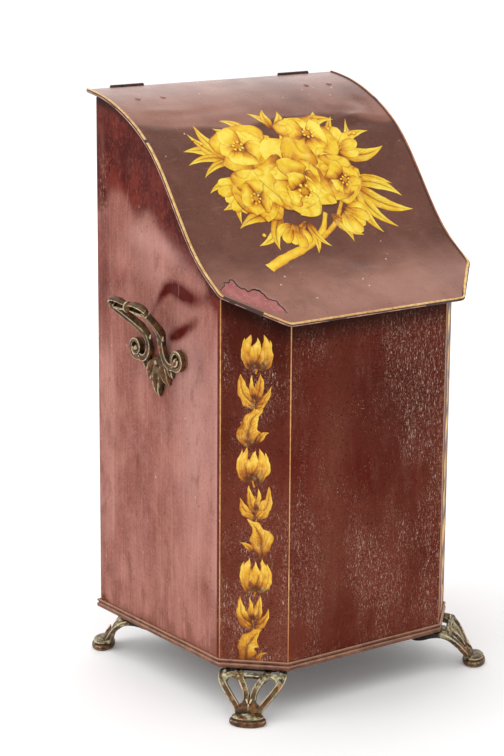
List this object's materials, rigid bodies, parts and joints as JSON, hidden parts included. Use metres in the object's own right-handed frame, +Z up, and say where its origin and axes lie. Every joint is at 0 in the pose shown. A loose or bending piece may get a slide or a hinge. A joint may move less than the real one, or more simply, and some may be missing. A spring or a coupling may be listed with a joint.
{
  "type": "coal scuttle",
  "caption": "Upright sheet-metal coal box with a curved hinged lid, cast side handles, openwork cast feet and a lift-out liner with a bail.",
  "frame": {"origin": "on the floor, midway between the four foot pads, under the middle of the box", "axes": "+X towards the right side panel, +Y towards the hinged back, +Z up"},
  "size_m": [0.3544, 0.2734, 0.5511],
  "materials": {
    "painted_sheet": "aged maroon enamel, worn gloss, rust specks at the edges, gilt lines",
    "lid_paint": "aged brown-maroon enamel, satin, gilt line and painted spray",
    "moulding": "rubbed copper-brown paint over steel",
    "cast_brass": "antique casting with pale patina and rusty hollows",
    "dark_steel": "dark oxidised steel",
    "liner_metal": "sooty black paint"
  },
  "bodies": {
    "case": {"left_side_panel": "painted_sheet", "right_side_panel": "painted_sheet", "front_sheet": "painted_sheet", "back_panel": "painted_sheet", "left_rim_roll": "painted_sheet", "right_rim_roll": "painted_sheet", "front_rim_roll": "painted_sheet", "back_rim_roll": "painted_sheet", "bottom_plate": "painted_sheet", "base_moulding": "moulding", "left_hinge_body_leaf": "dark_steel", "left_hinge_pin": "dark_steel", "right_hinge_body_leaf": "dark_steel", "right_hinge_pin": "dark_steel", "left_back_rivet_a": "dark_steel", "left_back_rivet_b": "dark_steel", "right_back_rivet_a": "dark_steel", "right_back_rivet_b": "dark_steel", "foot_front_left": "cast_brass", "foot_front_right": "cast_brass", "foot_rear_left": "cast_brass", "foot_rear_right": "cast_brass", "foot_bolt_front_left": "dark_steel", "foot_bolt_front_right": "dark_steel", "foot_bolt_rear_left": "dark_steel", "foot_bolt_rear_right": "dark_steel", "foot_nut_front_left": "dark_steel", "foot_nut_front_right": "dark_steel", "foot_nut_rear_left": "dark_steel", "foot_nut_rear_right": "dark_steel", "left_handle": "cast_brass", "right_handle": "cast_brass", "left_handle_rivet_front": "dark_steel", "left_handle_rivet_rear": "dark_steel", "right_handle_rivet_front": "dark_steel", "right_handle_rivet_rear": "dark_steel", "coal_liner": "liner_metal", "left_bail_ear": "liner_metal", "right_bail_ear": "liner_metal", "left_ear_rivet_front": "dark_steel", "left_ear_rivet_rear": "dark_steel", "right_ear_rivet_front": "dark_steel", "right_ear_rivet_rear": "dark_steel"},
    "lid": {"lid_sheet": "lid_paint", "lid_rolled_edge": "lid_paint", "left_hinge_lid_leaf": "dark_steel", "right_hinge_lid_leaf": "dark_steel", "left_lid_rivet_a": "dark_steel", "left_lid_rivet_b": "dark_steel", "right_lid_rivet_a": "dark_steel", "right_lid_rivet_b": "dark_steel"},
    "bail": {"liner_bail": "dark_steel"}
  },
  "joints": [
    {"name": "lid_hinge", "type": "hinge", "parent": "case", "child": "lid", "pos_m": [0, 0.12737, 0.5486], "axis": [-1, 0, 0], "range_deg": [0, 105]},
    {"name": "bail_swing", "type": "hinge", "parent": "case", "child": "bail", "pos_m": [0, 0.00147, 0.293], "axis": [1, 0, 0], "range_deg": [0, 170]}
  ]
}
